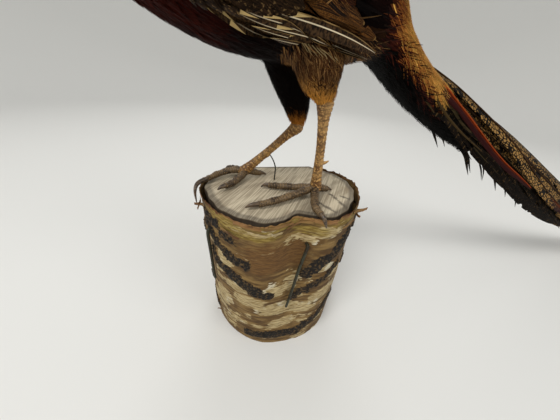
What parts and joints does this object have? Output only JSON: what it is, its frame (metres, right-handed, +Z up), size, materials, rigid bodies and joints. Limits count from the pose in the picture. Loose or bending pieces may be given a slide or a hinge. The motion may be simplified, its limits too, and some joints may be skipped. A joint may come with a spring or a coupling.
{
  "type": "taxidermy golden pheasant on birch log",
  "caption": "Life-size mounted golden pheasant cock standing on a short sawn birch log, with a long sloping tail reaching out behind and down.",
  "frame": {"origin": "middle of the log's flat underside, on the surface that it stands on", "axes": "+Z up, the bird looks along -Y and its tail points along +Y; its left side is +X, and the log's flat sawn back faces -X"},
  "size_m": [0.1199, 0.8795, 0.4858],
  "materials": {
    "birch_wood": "sawn birch end grain, weathered pale grey-beige, dry and matte",
    "birch_bark": "birch bark, tan-brown with cream patches, black bumpy ridges and peeling yellow-olive edges",
    "iron_wire": "dark green-grey iron wire, slightly dulled",
    "crimson_feathers": "dark crimson-maroon breast feathers, silky with brighter edges",
    "golden_feathers": "long golden-yellow hair-like feathers with orange ends",
    "face_feathers": "short rusty-buff face and throat feathers",
    "cape_feathers": "orange cape feathers with blue-black bars",
    "wing_feathers": "brown wing feathers, mottled and barred with buff",
    "dark_feathers": "near-black flight and tail feathers with pale shafts and buff marks",
    "thigh_feathers": "fluffy grey-brown to tan thigh feathers",
    "tail_feathers": "long central tail feathers, black with cinnamon-buff net pattern",
    "scarlet_feathers": "scarlet-orange spear-shaped tail coverts with bright shafts",
    "bill_horn": "horn-yellow bill, satin",
    "eye_glass": "glossy glass eye, pale yellow iris and black pupil",
    "leg_scales": "golden-brown scaled shanks, dry satin",
    "toe_scales": "grey-brown scaled toes with dark horn claws"
  },
  "bodies": {
    "root": {"log_wood": "birch_wood", "log_bark": "birch_bark", "leg_wire_left": "iron_wire", "leg_wire_right": "iron_wire", "loose_wire": "iron_wire", "trunk": "crimson_feathers", "rump": "golden_feathers", "head": "face_feathers", "bill_upper": "bill_horn", "bill_lower": "bill_horn", "eye_left": "eye_glass", "eye_right": "eye_glass", "neck": "face_feathers", "crest": "golden_feathers", "cape": "cape_feathers", "primaries_left": "dark_feathers", "wing_left": "wing_feathers", "thigh_left": "thigh_feathers", "shank_left": "leg_scales", "foot_left": "toe_scales", "tail_centre_left": "tail_feathers", "tail_left_1": "dark_feathers", "tail_left_2": "dark_feathers", "tail_left_3": "dark_feathers", "tail_left_4": "dark_feathers", "spear_left_1": "scarlet_feathers", "spear_left_2": "scarlet_feathers", "primaries_right": "dark_feathers", "wing_right": "wing_feathers", "thigh_right": "thigh_feathers", "shank_right": "leg_scales", "foot_right": "toe_scales", "tail_centre_right": "tail_feathers", "tail_right_1": "dark_feathers", "tail_right_2": "dark_feathers", "tail_right_3": "dark_feathers", "tail_right_4": "dark_feathers", "spear_right_1": "scarlet_feathers", "spear_right_2": "scarlet_feathers"}
  },
  "joints": []
}
